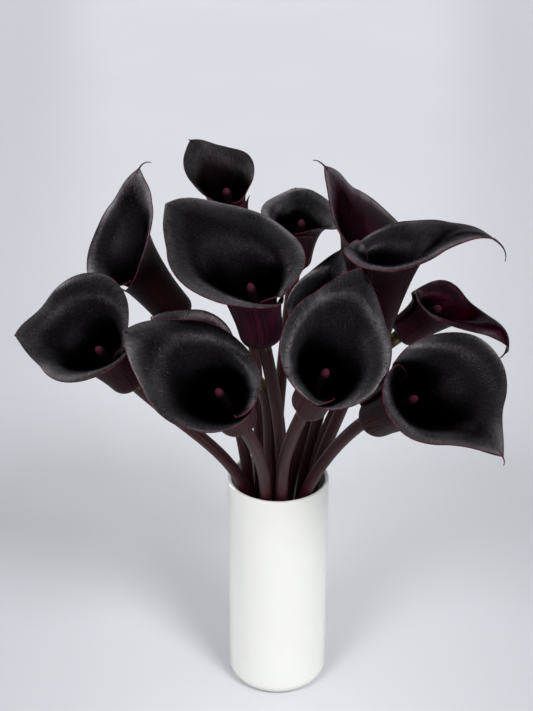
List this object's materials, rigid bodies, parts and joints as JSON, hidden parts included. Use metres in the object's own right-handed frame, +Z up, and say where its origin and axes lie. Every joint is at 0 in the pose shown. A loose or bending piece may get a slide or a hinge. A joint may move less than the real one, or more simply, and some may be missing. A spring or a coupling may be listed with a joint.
{
  "type": "bunch of calla lilies in a vase",
  "caption": "Bunch of dark calla lilies in a plain white cylinder vase with water; each flower is a rolled trumpet leaf round a short spike on a bare stem.",
  "frame": {"origin": "centre of the vase's foot, on the surface that it stands on", "axes": "+Z up; -Y towards the viewer of the picture; +X to the viewer's right"},
  "size_m": [0.3831, 0.2455, 0.4737],
  "materials": {
    "vase_glaze": "glossy white glaze",
    "water": "clear water",
    "stem": "satin mauve-brown skin, finely ribbed lengthwise",
    "spathe": "velvety near-black inside, dark burgundy with fine veins outside, crimson edge",
    "spadix": "matte, covered with tiny florets"
  },
  "bodies": {
    "root": {"vase": "vase_glaze", "water": "water", "stem_01": "stem", "spathe_01": "spathe", "spadix_01": "spadix", "stem_02": "stem", "spathe_02": "spathe", "spadix_02": "spadix", "stem_03": "stem", "spathe_03": "spathe", "spadix_03": "spadix", "stem_04": "stem", "spathe_04": "spathe", "spadix_04": "spadix", "stem_05": "stem", "spathe_05": "spathe", "spadix_05": "spadix", "stem_06": "stem", "spathe_06": "spathe", "spadix_06": "spadix", "stem_07": "stem", "spathe_07": "spathe", "spadix_07": "spadix", "stem_08": "stem", "spathe_08": "spathe", "spadix_08": "spadix", "stem_09": "stem", "spathe_09": "spathe", "spadix_09": "spadix", "stem_10": "stem", "spathe_10": "spathe", "spadix_10": "spadix", "stem_11": "stem", "spathe_11": "spathe", "spadix_11": "spadix", "stem_12": "stem", "spathe_12": "spathe", "spadix_12": "spadix", "stem_13": "stem", "spathe_13": "spathe", "spadix_13": "spadix"}
  },
  "joints": []
}
